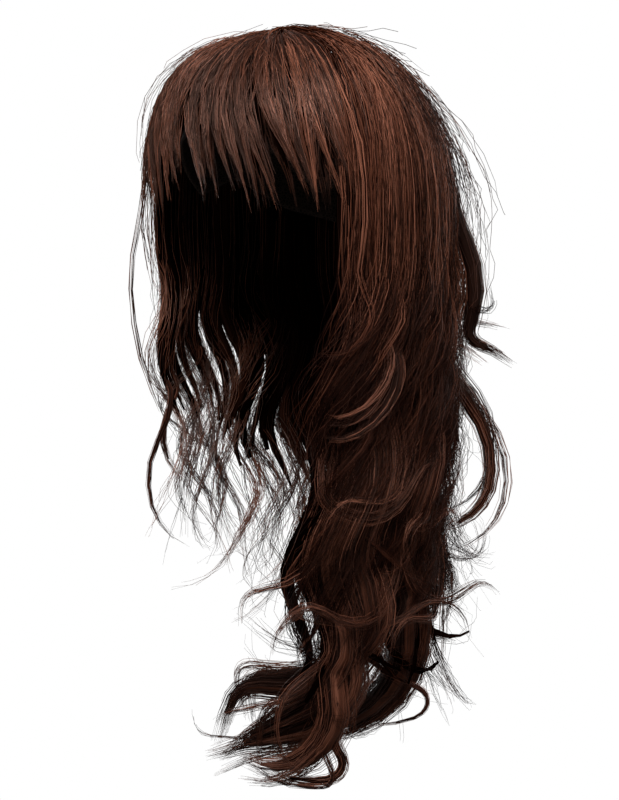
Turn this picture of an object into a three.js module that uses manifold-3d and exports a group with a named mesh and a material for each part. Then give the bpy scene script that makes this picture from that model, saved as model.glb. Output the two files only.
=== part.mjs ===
// A long wavy wig with a full fringe, as it hangs on a head. Millimetres, +Z up.
// The origin is the inside of the cap at the top of the head. The face looks along -Y and +X is the
// wearer's left. An azimuth is counted from the front towards the wearer's left.
// A thin cap carries the hair in seven sections, each a ribbed shell with its locks and curls fused to it.
import * as THREE from "three";
import { mergeVertices } from "three/addons/utils/BufferGeometryUtils.js";
import Module from "manifold-3d";

const wasm = await Module();
wasm.setup();

const { degToRad, lerp, smoothstep } = THREE.MathUtils;

// Driving dimensions

// The cap's inside fits a head 555 mm round.
const CAP = { halfWidth: 78, halfDepth: 98, dome: 98, wall: 1.8, napeTaper: 0.12 };

// The cap's edge: how low it reaches at each angle from the front.
const CAP_EDGE = [
  { azimuth: 0, z: -62 },
  { azimuth: 40, z: -76 },
  { azimuth: 68, z: -112 },
  { azimuth: 92, z: -98 },
  { azimuth: 118, z: -122 },
  { azimuth: 180, z: -146 },
];

// The hair's outer surface is a dome that ends in a ring at ear level.
const DOME = {
  halfWidth: 107,
  halfFront: 116,
  halfBack: 126,
  ringZ: -127,
  topZ: 17,
  frontTopZ: 10,
  planFront: 2.5,
  planBack: 2,
  riseFront: 2.9,
  riseBack: 2,
};
const WHORL_Y = -17;
const CROWN = { share: 0.3, rib: 2.4, ribs: 12, dimple: 3 };

// Gaps that keep the pieces apart
const SEAT_GAP = 0.9; // between the cap and the hair on it
const CROWN_GAP_SHARE = 0.008; // round the crown patch
const SIDE_GAP_DEG = 0.3; // from a section's edge to the middle of the gap beside it
const LOCK_GAP = 0.4; // between locks of neighbouring sections
const ROOM_DEG = 0.2; // locks of other sections stay this far past a section's edge

// Below the ring the hair hangs. Drift carries it sideways, and tipZ is where it ends.
const HANG = [
  { azimuth: -180, driftX: 0, driftY: -12, tipZ: -470 },
  { azimuth: -130, driftX: 16, driftY: -8, tipZ: -455 },
  { azimuth: -90, driftX: 24, driftY: 0, tipZ: -425 },
  { azimuth: -50, driftX: 20, driftY: 10, tipZ: -380 },
  { azimuth: 70, driftX: -10, driftY: -38, tipZ: -520 },
  { azimuth: 85, driftX: -6, driftY: -36, tipZ: -520 },
  { azimuth: 100, driftX: -4, driftY: -22, tipZ: -515 },
  { azimuth: 115, driftX: -2, driftY: -10, tipZ: -508 },
  { azimuth: 130, driftX: 0, driftY: -10, tipZ: -490 },
  { azimuth: 150, driftX: 0, driftY: -10, tipZ: -475 },
  { azimuth: 180, driftX: 0, driftY: -12, tipZ: -470 },
];
const DRIFT = { fromZ: -127, toZ: -400 };
const WAVE = { fromZ: -150, fullZ: -330, sway: 9, depth: 0.7, length: 125, phasePerDegree: 2.2 };

// Sections of long hair. Each is a ribbed curtain from the crown patch to curtainZ, where its locks part.
const SECTIONS = [
  { name: "side_hair_left", from: 70, to: 128, locks: 5, curtainZ: -455, lockWidth: 21 },
  { name: "side_hair_right", from: -128, to: -50, locks: 7, curtainZ: -320, lockWidth: 19 },
  { name: "back_hair_left", from: 128, to: 180, locks: 4, curtainZ: -425, lockWidth: 26 },
  { name: "back_hair_right", from: -180, to: -128, locks: 4, curtainZ: -380, lockWidth: 26 },
];
const CURTAIN = { thickness: 15, rib: 5, domeRows: 7, rowDrop: 25 };
const LOCK = { sides: 5, overlap: 22, thickness: 13, stepDrop: 21, tip: 0.28, taperFrom: 0.3 };

// Inner hair at the nape: a band on the cap, and the locks that hang from it.
const NAPE = { from: 108, to: 252, topZ: -113, bottomZ: -143, thickness: 7, columns: 12 };
const NAPE_LOCKS = { from: 132, to: 228, count: 5, inset: 22, width: 28, thickness: 7, tipZ: -395, steps: 7 };

// The fringe lies on the cap to seatShare, and its locks part at partShare.
const FRINGE = { from: -50, to: 70, seatShare: 0.62, partShare: 0.82, rows: 6, thickness: 9, rib: 3.5 };
const FRINGE_DRIFT = 2.5; // the power by which a lock drifts sideways on its way to its tip
// Each lock's azimuth at its root and at its tip, and its share of the way from the whorl to the ring.
const FRINGE_LOCKS = [
  { root: -45, tip: -38, share: 0.99 },
  { root: -35, tip: -28, share: 0.98 },
  { root: -25, tip: -18, share: 0.96 },
  { root: -15, tip: -8, share: 0.94 },
  { root: -5, tip: 3, share: 0.945 },
  { root: 5, tip: 14, share: 0.935 },
  { root: 15, tip: 26, share: 0.945 },
  { root: 25, tip: 35, share: 0.95 },
  { root: 35, tip: 44, share: 0.955 },
  { root: 45, tip: 52, share: 0.96 },
  { root: 55, tip: 61, share: 0.98 },
  { root: 65, tip: 68, share: 1.0 },
];
const FRINGE_TIP = { width: 17, thickness: 7, rootShare: 0.75, steps: 4 };

// Curls that stand away from the mass. Each leaves its section at (azimuth, z), leaning from straight down
// towards its heading, and follows its arcs. An arc has a radius and a turn in degrees, upwards if positive.
const BACKWARDS = 140;
const FORWARDS = -40;
const arc = (radius, turn) => ({ length: radius * degToRad(Math.abs(turn)), turn });
const run = (length) => ({ length, turn: 0 });
const CURLS = [
  {
    section: "back_hair_left", azimuth: 146, z: -136, inset: -8, heading: BACKWARDS, lean: 40, size: 11,
    arcs: [arc(68, -75), arc(9, 115), arc(60, -35)],
  },
  {
    section: "back_hair_left", azimuth: 150, z: -262, inset: -11, heading: BACKWARDS, lean: 48, size: 9,
    arcs: [arc(85, -55), arc(42, -85)],
  },
  {
    section: "back_hair_left", azimuth: 146, z: -375, inset: 6, heading: BACKWARDS, lean: 32, size: 9,
    arcs: [arc(55, -85)],
  },
  {
    section: "back_hair_left", azimuth: 140, z: -439, inset: 34, heading: BACKWARDS, lean: 60, size: 8,
    arcs: [arc(180, 15)],
  },
  {
    section: "side_hair_left", azimuth: 110, z: -480, inset: 6, heading: BACKWARDS, lean: 78, size: 3.5,
    arcs: [run(14), arc(12, -148), arc(110, -14), run(20)],
  },
  {
    section: "side_hair_left", azimuth: 83, z: -521, inset: 0, heading: BACKWARDS, lean: 55, size: 8,
    arcs: [run(5), arc(12, -135), arc(75, -40)],
  },
  {
    section: "side_hair_left", azimuth: 100, z: -425, inset: 0, heading: FORWARDS, lean: 15, size: 13,
    arcs: [arc(66, 75), arc(150, 10), arc(9, -110), run(28)],
  },
  {
    section: "side_hair_left", azimuth: 95, z: -428, inset: 0, heading: FORWARDS, lean: 10, size: 17,
    arcs: [arc(62, 82), arc(170, 7), arc(14, -70), arc(120, -20)],
  },
  {
    section: "side_hair_left", azimuth: 88, z: -453, inset: 0, heading: FORWARDS, lean: 15, size: 17,
    arcs: [arc(70, 55), arc(150, -22)],
  },
  {
    section: "side_hair_left", azimuth: 90, z: -475, inset: 0, heading: FORWARDS, lean: 20, size: 17,
    arcs: [arc(60, 65), arc(170, -12), run(25)],
  },
  {
    section: "side_hair_left", azimuth: 84, z: -491, inset: 0, heading: FORWARDS, lean: 0, size: 19,
    arcs: [arc(45, 90), arc(45, 35)],
  },
  {
    section: "side_hair_left", azimuth: 77, z: -437, inset: 0, heading: FORWARDS, lean: 95, size: 5,
    arcs: [arc(14, -115)],
  },
  {
    section: "side_hair_left", azimuth: 98, z: -245, inset: 0, heading: FORWARDS, lean: 15, size: 11,
    arcs: [arc(54, 63), arc(32, 22)],
  },
  {
    section: "side_hair_right", azimuth: -52, z: -290, inset: 0, heading: FORWARDS, lean: 38, size: 4,
    arcs: [arc(70, -60), arc(45, -50)],
  },
  {
    section: "side_hair_right", azimuth: -58, z: -290, inset: -8, heading: FORWARDS, lean: 12, size: 6,
    arcs: [arc(45, -75)],
  },
];
const CURL = { degreesPerStep: 26, straightStep: 14, anchorRise: 30, anchorInset: 8 };

const HAIR = new THREE.MeshStandardMaterial({ color: 0x4b2f26, roughness: 0.55, metalness: 0 });
const CAP_CLOTH = new THREE.MeshStandardMaterial({ color: 0x2a1d18, roughness: 0.9, metalness: 0 });

// Shapes of the head and of the hair over it

// The level direction at an angle from the front, towards the wearer's left.
function heading(azimuth) {
  const a = degToRad(azimuth);
  return new THREE.Vector3(Math.sin(a), -Math.cos(a), 0);
}

const frontShare = (azimuth) => smoothstep(0.5 + 0.5 * Math.cos(degToRad(azimuth)), 0, 1);

// A value from a table of rows with an azimuth, by straight lines between them.
function fromTable(rows, azimuth, column) {
  if (azimuth <= rows[0].azimuth) return rows[0][column];
  const next = rows.findIndex((row) => row.azimuth >= azimuth);
  if (next < 0) return rows.at(-1)[column];
  const [a, b] = [rows[next - 1], rows[next]];
  return lerp(a[column], b[column], (azimuth - a.azimuth) / (b.azimuth - a.azimuth));
}

// The azimuth between -180 and 180.
const wrapped = (azimuth) => THREE.MathUtils.euclideanModulo(azimuth + 180, 360) - 180;

// How far the ring lies from the middle: an oval, squarer at the front.
function ringRadius(azimuth) {
  const a = degToRad(azimuth);
  const depth = Math.cos(a) > 0 ? DOME.halfFront : DOME.halfBack;
  const power = lerp(DOME.planBack, DOME.planFront, frontShare(azimuth));
  const across = Math.abs(Math.sin(a) / DOME.halfWidth) ** power;
  const along = Math.abs(Math.cos(a) / depth) ** power;
  return (across + along) ** (-1 / power);
}

// The height of the hair's surface over a point of the plan.
function domeHeight(x, y) {
  const azimuth = THREE.MathUtils.radToDeg(Math.atan2(x, -y));
  const reach = Math.min(1, Math.hypot(x, y) / ringRadius(azimuth));
  const front = frontShare(azimuth) * Math.min(1, 2 * reach);
  const power = lerp(DOME.riseBack, DOME.riseFront, front);
  const top = lerp(DOME.topZ, DOME.frontTopZ, front);
  return DOME.ringZ + (top - DOME.ringZ) * (1 - reach ** power) ** (1 / power);
}

// A point of the dome on the line from the whorl (share 0) to the ring (share 1), sunk by inset.
function domePoint(azimuth, share, inset = 0) {
  const out = Math.sin((share * Math.PI) / 2);
  const p = heading(azimuth).multiplyScalar(ringRadius(azimuth) * out);
  p.y += WHORL_Y * (1 - out);
  p.z = domeHeight(p.x, p.y) - inset * (1 - out);
  return p.addScaledVector(heading(azimuth), -inset * out);
}

// A point of the cap's inside, moved out by lift. Below share 1 the wall runs down and closes in a little.
function capPoint(azimuth, share, lift) {
  const a = degToRad(azimuth);
  const up = Math.min(1, share) * (Math.PI / 2);
  const across = (CAP.halfWidth + lift) * Math.sin(a) * Math.sin(up);
  const along = -(CAP.halfDepth + lift) * Math.cos(a) * Math.sin(up);
  const below = Math.max(0, share - 1) * CAP.dome;
  const narrow = 1 - (below * CAP.napeTaper) / CAP.halfDepth;
  const height = -CAP.dome + (CAP.dome + lift) * Math.cos(up) - below;
  return new THREE.Vector3(across * narrow, along * narrow, height);
}

// The share at which the cap reaches down to z.
function capShareAt(z) {
  const drop = -z / CAP.dome;
  return drop >= 1 ? drop : Math.acos(1 - drop) / (Math.PI / 2);
}

// A point of the hanging hair below the ring.
function hangPoint(azimuth, z, inset) {
  const az = wrapped(azimuth);
  const share = smoothstep(DRIFT.fromZ - z, 0, DRIFT.fromZ - DRIFT.toZ);
  const p = heading(az).multiplyScalar(ringRadius(az) - inset);
  p.x += fromTable(HANG, az, "driftX") * share;
  p.y += fromTable(HANG, az, "driftY") * share;
  return p.setZ(z);
}

// The wave of a hanging lock: a loose corkscrew that grows as it falls.
function wavePoint(azimuth, z, inset) {
  const grown = WAVE.sway * smoothstep(WAVE.fromZ - z, 0, WAVE.fromZ - WAVE.fullZ);
  const phase = degToRad(WAVE.phasePerDegree * Math.abs(wrapped(azimuth)));
  const turn = phase + (2 * Math.PI * (DOME.ringZ - z)) / WAVE.length;
  return hangPoint(azimuth, z, inset)
    .addScaledVector(heading(azimuth + 90), grown * Math.cos(turn))
    .addScaledVector(heading(azimuth), grown * WAVE.depth * Math.sin(turn));
}

// Solids

const steps = (from, to, count) => Array.from({ length: count + 1 }, (_, i) => lerp(from, to, i / count));

// A manifold-3d solid from a closed geometry.
function solidOf(geometry) {
  const merged = mergeVertices(geometry, 1e-4);
  return new wasm.Manifold(
    new wasm.Mesh({
      numProp: 3,
      vertProperties: merged.attributes.position.array,
      triVerts: new Uint32Array(merged.index.array),
    }),
  );
}

// A closed solid from rings of points, all with the same count. ends lists the triangles that close a ring.
function loft(rings, ends) {
  const sides = rings[0].length;
  const faces = [];
  for (let r = 0; r + 1 < rings.length; r++)
    for (let k = 0; k < sides; k++) {
      const [a, b] = [r * sides + k, r * sides + ((k + 1) % sides)];
      faces.push(a, b, a + sides, b, b + sides, a + sides);
    }
  const last = (rings.length - 1) * sides;
  for (const [a, b, c] of ends) faces.push(a, c, b, last + a, last + b, last + c);
  return solidOf(new THREE.BufferGeometry().setFromPoints(rings.flat()).setIndex(faces));
}

// A block between an outer and an inner surface, each given as columns of points from top to bottom.
function block(outer, inner) {
  const rings = outer.map((column, i) => [...column, ...inner[i].toReversed()]);
  const back = 2 * outer[0].length - 1;
  const ends = outer[0].slice(1).flatMap((_, i) => [
    [i, i + 1, back - i - 1],
    [i, back - i - 1, back - i],
  ]);
  return loft(rings, ends);
}

// A lock along a path. Its width lies along side, and size gives its share of the full size at each point.
function lock(path, side, { width, thickness }, size, grow) {
  const rings = path.map((p, i) => {
    const along = path[Math.min(i + 1, path.length - 1)].clone().sub(path[Math.max(i - 1, 0)]).normalize();
    const thick = new THREE.Vector3().crossVectors(along, side).normalize();
    const wide = new THREE.Vector3().crossVectors(thick, along);
    const share = size(i / (path.length - 1));
    return Array.from({ length: LOCK.sides }, (_, k) => {
      const a = (2 * Math.PI * k) / LOCK.sides + Math.PI / 2;
      return p
        .clone()
        .addScaledVector(wide, ((width / 2) * share + grow) * Math.cos(a))
        .addScaledVector(thick, ((thickness / 2) * share + grow) * Math.sin(a));
    });
  });
  const ends = steps(1, LOCK.sides - 2, LOCK.sides - 3).map((k) => [0, k, k + 1]);
  return loft(rings, ends);
}

// A lock keeps its size at first and then narrows to its tip.
const taper = (share) => lerp(1, LOCK.tip, smoothstep(share, LOCK.taperFrom, 1));

// A closed wall: rings up the outside to its top point, the inside's top point, and rings down the inside.
function closedDome(outside, inside, [outerTop, innerTop]) {
  const points = [...outside.flat(), ...inside.flat(), outerTop, innerTop];
  const sides = outside[0].length;
  const rings = outside.length + inside.length;
  const faces = [];
  const band = (low, high) => {
    for (let k = 0; k < sides; k++) {
      const n = (k + 1) % sides;
      faces.push(low + k, low + n, high + k, low + n, high + n, high + k);
    }
  };
  for (let r = 0; r + 1 < rings; r++) if (r + 1 !== outside.length) band(r * sides, (r + 1) * sides);
  band((rings - 1) * sides, 0);
  const [outerRing, innerRing] = [(outside.length - 1) * sides, outside.length * sides];
  for (let k = 0; k < sides; k++) {
    const n = (k + 1) % sides;
    faces.push(outerRing + k, outerRing + n, points.length - 2);
    faces.push(innerRing + n, innerRing + k, points.length - 1);
  }
  return solidOf(new THREE.BufferGeometry().setFromPoints(points).setIndex(faces));
}

const fuse = (solids) => solids.reduce((all, one) => all.add(one));

// The largest body of a solid, without the crumbs that a cut leaves.
const largest = (solid) => solid.decompose().reduce((a, b) => (a.volume() > b.volume() ? a : b));

// The pieces of the wig. grow makes a piece larger, as the room that it takes from its neighbours.

function cap() {
  const columns = steps(-180, 180, 32).slice(0, -1);
  const rows = steps(1, 0.14, 5);
  const edge = (az) => capShareAt(fromTable(CAP_EDGE, Math.abs(az), "z"));
  const ring = (lift) => (part) => columns.map((az) => capPoint(az, part * edge(az), lift));
  const tops = [CAP.wall, 0].map((z) => new THREE.Vector3(0, 0, z));
  return closedDome(rows.map(ring(CAP.wall)), rows.toReversed().map(ring(0)), tops);
}

// A point of the hair's underside where it lies on the cap.
const seatPoint = (azimuth, share) => capPoint(azimuth, share, CAP.wall + SEAT_GAP);

// The crown patch: hair round the whorl, on top of the cap, with a shallow dimple at the whorl.
function crownHair() {
  const columns = steps(-180, 180, 2 * CROWN.ribs).slice(0, -1);
  const shares = steps(CROWN.share - CROWN_GAP_SHARE, 0.08, 2);
  const outside = shares.map((s) => columns.map((az, i) => domePoint(az, s, i % 2 ? CROWN.rib : 0)));
  const inside = shares.toReversed().map((s) => columns.map((az) => seatPoint(az, s)));
  return closedDome(outside, inside, [domePoint(0, 0, CROWN.dimple), seatPoint(0, 0)]);
}

// The ribbed curtain of a section. Columns of points run down its ridges and the valleys between them.
function curtain({ from, to, locks, curtainZ }, grow) {
  const gap = grow ? -ROOM_DEG : SIDE_GAP_DEG;
  const columns = steps(from + gap, to - gap, 2 * locks);
  const shares = steps(CROWN.share + CROWN_GAP_SHARE, 1, CURTAIN.domeRows);
  const rows = Math.round((DOME.ringZ - curtainZ) / CURTAIN.rowDrop);
  const heights = steps(DOME.ringZ, curtainZ - grow, rows).slice(1);
  const outer = columns.map((az, i) => {
    const inset = (i % 2 ? 0 : CURTAIN.rib) - grow;
    return [...shares.map((s) => domePoint(az, s, inset)), ...heights.map((z) => wavePoint(az, z, inset))];
  });
  const inner = columns.map((az) => [
    ...shares.map((s) => seatPoint(az, s)),
    ...heights.map((z) => wavePoint(az, z, CURTAIN.thickness + grow)),
  ]);
  return block(outer, inner);
}

// The end of a lock, from inside the curtain down to its tip.
function lockEnd({ curtainZ, lockWidth }, azimuth, grow) {
  const topZ = curtainZ + LOCK.overlap;
  const tipZ = fromTable(HANG, azimuth, "tipZ");
  const path = steps(topZ, tipZ, Math.round((topZ - tipZ) / LOCK.stepDrop)).map((z) =>
    wavePoint(azimuth, z, CURTAIN.thickness / 2),
  );
  return lock(path, heading(azimuth + 90), { width: lockWidth, thickness: LOCK.thickness }, taper, grow);
}

// A curl leaves the mass at its anchor, then follows its arcs in the upright plane of its heading.
function curl(row, grow) {
  const path = [
    hangPoint(row.azimuth, row.z + CURL.anchorRise, CURL.anchorInset),
    hangPoint(row.azimuth, row.z, row.inset),
  ];
  const ahead = heading(row.heading);
  let lean = degToRad(row.lean);
  for (const { length, turn } of row.arcs) {
    const count = Math.ceil(turn ? Math.abs(turn) / CURL.degreesPerStep : length / CURL.straightStep);
    for (let i = 0; i < count; i++) {
      const middle = lean + degToRad(turn) / count / 2;
      const step = new THREE.Vector3(0, 0, -Math.cos(middle)).addScaledVector(ahead, Math.sin(middle));
      path.push(path.at(-1).clone().addScaledVector(step, length / count));
      lean += degToRad(turn) / count;
    }
  }
  return lock(path, heading(row.heading + 90), { width: row.size, thickness: row.size }, taper, grow);
}

function longSection(section, grow) {
  const { name, from, to, locks } = section;
  const width = (to - from) / locks;
  const ridges = steps(from + width / 2, to - width / 2, locks - 1);
  return fuse([
    curtain(section, grow),
    ...ridges.map((az) => lockEnd(section, az, grow)),
    ...CURLS.filter((row) => row.section === name).map((row) => curl(row, grow)),
  ]);
}

// The fringe: a ribbed shell that leaves the cap above the brow, and the tips of its locks.
function fringe(grow) {
  const gap = grow ? -ROOM_DEG : SIDE_GAP_DEG;
  const drifting = ({ root, tip }, s) => lerp(root, tip, s ** FRINGE_DRIFT);
  const valleys = FRINGE_LOCKS.slice(1).map((row, i) => ({
    root: (row.root + FRINGE_LOCKS[i].root) / 2,
    tip: (row.tip + FRINGE_LOCKS[i].tip) / 2,
  }));
  const [first, last] = [FRINGE.from + gap, FRINGE.to - gap];
  const firstTip = first + FRINGE_LOCKS[0].tip - FRINGE_LOCKS[0].root;
  const columns = [
    { root: first, tip: firstTip },
    ...FRINGE_LOCKS.flatMap((row, i) => (i ? [valleys[i - 1], row] : [row])),
    { root: last, tip: last },
  ];
  const shares = steps(CROWN.share + CROWN_GAP_SHARE, FRINGE.partShare, FRINGE.rows);
  const outer = columns.map((row, i) =>
    shares.map((s) => domePoint(drifting(row, s), s, (i % 2 ? 0 : FRINGE.rib) - grow)),
  );
  const free = (az, s) => domePoint(az, s, FRINGE.thickness + grow);
  const under = (az, s) => (s < FRINGE.seatShare ? seatPoint(az, s) : free(az, s));
  const inner = columns.map((row) => shares.map((s) => under(drifting(row, s), s)));
  const tips = FRINGE_LOCKS.map((row) => {
    const path = steps(FRINGE_TIP.rootShare, row.share, FRINGE_TIP.steps).map((s) =>
      domePoint(drifting(row, s), s, FRINGE.thickness / 2),
    );
    return lock(path, heading(row.root + 90), FRINGE_TIP, taper, grow);
  });
  return fuse([block(outer, inner), ...tips]);
}

// Inner hair from the nape of the cap, under the back hair.
function napeHair() {
  const columns = steps(NAPE.from, NAPE.to, NAPE.columns);
  const shares = [NAPE.topZ, NAPE.bottomZ].map(capShareAt);
  const lift = CAP.wall + SEAT_GAP + NAPE.thickness;
  const band = block(
    columns.map((az) => shares.map((s) => capPoint(az, s, lift))),
    columns.map((az) => shares.map((s) => seatPoint(az, s))),
  );
  const { from, to, count, inset, tipZ } = NAPE_LOCKS;
  const locks = steps(from, to, count - 1).map((az) => {
    const heights = steps(NAPE.bottomZ + NAPE.thickness, tipZ, NAPE_LOCKS.steps);
    const path = heights.map((z) => wavePoint(az, z, inset));
    return lock(path, heading(az + 90), NAPE_LOCKS, taper, 0);
  });
  return fuse([band, ...locks]);
}

// Fringe and sections in turn, each cut clear of the ones before it. The nape hair comes last, inside them.
function hairSections() {
  const made = { fringe: fringe(0) };
  let room = fringe(LOCK_GAP);
  for (const section of SECTIONS) {
    made[section.name] = largest(longSection(section, 0).subtract(room));
    room = room.add(longSection(section, LOCK_GAP));
  }
  made.nape_hair = largest(napeHair().subtract(room));
  return made;
}

function meshOf(name, solid, material) {
  const { vertProperties, triVerts } = solid.getMesh();
  const geometry = new THREE.BufferGeometry()
    .setAttribute("position", new THREE.BufferAttribute(vertProperties, 3))
    .setIndex(new THREE.BufferAttribute(triVerts, 1));
  geometry.computeVertexNormals();
  const mesh = new THREE.Mesh(geometry, material);
  mesh.name = name;
  return mesh;
}

const wig = new THREE.Group();
wig.add(meshOf("cap", cap(), CAP_CLOTH));
wig.add(meshOf("crown_hair", crownHair(), HAIR));
for (const [name, solid] of Object.entries(hairSections())) wig.add(meshOf(name, solid, HAIR));

export default wig;
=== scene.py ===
# %% [markdown]
# # A long wavy wig with a full fringe
#
# A wig is hair that is sewn to a thin stretchy cap. The cap decides where each strand is rooted.
# Gravity, the wave that was set into the fibre and the curls at its ends decide where it goes.
# This script dresses the rigid model of the wig with strands, one section at a time. Everything is
# in metres and in the model's own frame, so nothing has to be fitted afterwards.

import math

import bpy
import numpy as np
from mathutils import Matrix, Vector


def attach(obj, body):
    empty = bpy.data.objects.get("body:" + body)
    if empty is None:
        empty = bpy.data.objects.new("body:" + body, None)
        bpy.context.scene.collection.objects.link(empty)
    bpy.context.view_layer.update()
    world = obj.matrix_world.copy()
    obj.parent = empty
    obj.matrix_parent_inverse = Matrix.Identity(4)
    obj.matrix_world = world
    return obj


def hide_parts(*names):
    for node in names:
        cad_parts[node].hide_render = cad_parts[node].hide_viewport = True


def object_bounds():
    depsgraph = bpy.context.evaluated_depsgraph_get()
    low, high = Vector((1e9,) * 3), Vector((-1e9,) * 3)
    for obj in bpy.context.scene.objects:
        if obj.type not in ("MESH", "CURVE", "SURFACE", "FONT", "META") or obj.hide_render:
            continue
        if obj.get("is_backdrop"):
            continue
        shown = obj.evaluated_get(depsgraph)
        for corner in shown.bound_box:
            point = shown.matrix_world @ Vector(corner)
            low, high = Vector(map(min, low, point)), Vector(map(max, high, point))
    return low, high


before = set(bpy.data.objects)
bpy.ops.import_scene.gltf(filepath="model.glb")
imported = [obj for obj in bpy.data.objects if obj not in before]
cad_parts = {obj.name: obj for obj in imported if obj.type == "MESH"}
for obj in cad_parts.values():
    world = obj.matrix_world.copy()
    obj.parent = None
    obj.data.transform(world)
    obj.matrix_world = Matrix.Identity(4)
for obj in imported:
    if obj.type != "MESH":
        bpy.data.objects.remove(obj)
scene = bpy.context.scene
cad_box = [[float(value) for value in corner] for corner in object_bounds()]
MM = 0.001
print("The model spans", [round(high - low, 3) for low, high in zip(*cad_box)], "m")

# %% [markdown]
# ## Camera
#
# The wig is seen from its left front, almost level. A long lens from 2.4 m away keeps the near
# curls and the far side at nearly the same scale, as in a catalogue picture.

# %% Camera
CAMERA_AZIMUTH = math.radians(50)
CAMERA_ELEVATION = math.radians(3)
CAMERA_DISTANCE = 2.4
CAMERA_LENS = 140
CAMERA_SENSOR = 36
VIEW_SIDESTEP = 0.0096
VIEW_HEIGHT = -0.2695

view_right = Vector((math.cos(CAMERA_AZIMUTH), math.sin(CAMERA_AZIMUTH), 0))
view_back = Vector((math.sin(CAMERA_AZIMUTH), -math.cos(CAMERA_AZIMUTH), 0))
view_centre = view_right * VIEW_SIDESTEP + Vector((0, 0, VIEW_HEIGHT))
camera_offset = view_back * math.cos(CAMERA_ELEVATION) + Vector((0, 0, math.sin(CAMERA_ELEVATION)))

camera = bpy.data.objects.new("camera", bpy.data.cameras.new("camera"))
camera.data.lens = CAMERA_LENS
camera.data.sensor_width = CAMERA_SENSOR
camera.location = view_centre + camera_offset * CAMERA_DISTANCE
camera.rotation_euler = (-camera_offset).to_track_quat("-Z", "Y").to_euler()
scene.collection.objects.link(camera)
scene.camera = camera
print("Camera", CAMERA_DISTANCE, "m away")

# %% [markdown]
# ## Studio
#
# Dark hair on white is lit by large soft panels: one high in front that draws the broad sheen on
# the crown, a weaker one from the other side, and two behind that catch the loose hairs and the back.
# Those two stand low, because light that grazes the crown from behind would turn its roots grey.
# The backdrop is white to the eye, but sheds less light than it shows, so that the hair keeps its
# depth. The floor is far below, where its shadow doesn't reach the picture.

# %% Studio
FLOOR_HEIGHT = -3.0
FLOOR_REACH = 3
BACKDROP_LIGHT = 0.19
WHITE = (1, 1, 1, 1)
PALE = (0.9, 0.9, 0.9, 1)
PANELS = [
    # name, steps to the right, up and towards the camera, height aimed at, size (all in metres), watts
    ("key panel", -0.15, 0.72, 0.82, -0.05, 0.45, 28),
    ("fill panel", 0.8, 0.72, 0.55, -0.05, 0.5, 19),
    ("rim panel", 0.9, 0.1, -1.4, -0.15, 1.0, 12),
    ("back panel", -0.6, -0.2, -1.6, -0.25, 1.2, 22),
]


def feed(tree, socket, value):
    """Gives an input another node's output or a constant."""
    if isinstance(value, bpy.types.NodeSocket):
        tree.links.new(value, socket)
    elif value is not None:
        socket.default_value = value


def new_node(tree, kind, inputs=(), **settings):
    node = tree.nodes.new(kind)
    for name, value in settings.items():
        setattr(node, name, value)
    for key, value in dict(inputs).items():
        feed(tree, node.inputs[key], value)
    return node


def ramped(tree, value, stops):
    """The colour that a value finds between stops of a place and a colour."""
    ramp = new_node(tree, "ShaderNodeValToRGB", {"Fac": value})
    elements = ramp.color_ramp.elements
    while len(elements) < len(stops):
        elements.new(0.5)
    for element, (position, colour) in zip(elements, stops):
        element.position = position
        element.color = (*colour, 1)
    return ramp.outputs["Color"]


def surface(name, values):
    """A new material, and its shader with some of the inputs set to constants."""
    material = bpy.data.materials.new(name)
    material.use_nodes = True
    shader = material.node_tree.nodes["Principled BSDF"]
    for key, value in values.items():
        shader.inputs[key].default_value = value
    return material, shader


world = bpy.data.worlds.new("white studio")
world.use_nodes = True
world_tree = world.node_tree
seen = world_tree.nodes["Background"]
seen.inputs["Color"].default_value = WHITE
shed = new_node(world_tree, "ShaderNodeBackground", {"Color": WHITE, "Strength": BACKDROP_LIGHT})
to_camera = new_node(world_tree, "ShaderNodeLightPath").outputs["Is Camera Ray"]
choices = {0: to_camera, 1: shed.outputs[0], 2: seen.outputs[0]}
choose = new_node(world_tree, "ShaderNodeMixShader", choices)
world_tree.links.new(choose.outputs[0], world_tree.nodes["World Output"].inputs["Surface"])
scene.world = world
scene.view_settings.view_transform = "Standard"

for name, right, up, nearer, aim, size, power in PANELS:
    panel = bpy.data.lights.new(name, "AREA")
    panel.size = size
    panel.energy = power
    lamp = bpy.data.objects.new(name, panel)
    lamp.location = view_right * right + view_back * nearer + Vector((0, 0, up))
    lamp.rotation_euler = (Vector((0, 0, aim)) - lamp.location).to_track_quat("-Z", "Y").to_euler()
    scene.collection.objects.link(lamp)

floor_mesh = bpy.data.meshes.new("floor")
corners = ((-1, -1), (1, -1), (1, 1), (-1, 1))
floor_points = [(x * FLOOR_REACH, y * FLOOR_REACH, FLOOR_HEIGHT) for x, y in corners]
floor_mesh.from_pydata(floor_points, [], [(0, 1, 2, 3)])
floor_mesh.materials.append(surface("pale floor", {"Base Color": PALE, "Roughness": 0.9})[0])
floor = bpy.data.objects.new("floor", floor_mesh)
scene.collection.objects.link(floor)
floor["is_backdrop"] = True
print(len(PANELS), "panels and a floor at", FLOOR_HEIGHT, "m")

# %% [markdown]
# ## The form of the hair
#
# Two surfaces carry everything. Over the cap the hair lies on a dome, a little wider than the cap.
# From the widest ring down it hangs, drifts towards its resting place and waves. Both are formulas of
# a few sizes, which is easier to tune than a mesh drawn by hand, and any lock can ask them for a point.
# An azimuth is counted from the front towards the wearer's left, and a share runs from the whorl
# on top (0) to the ring (1).

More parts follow.
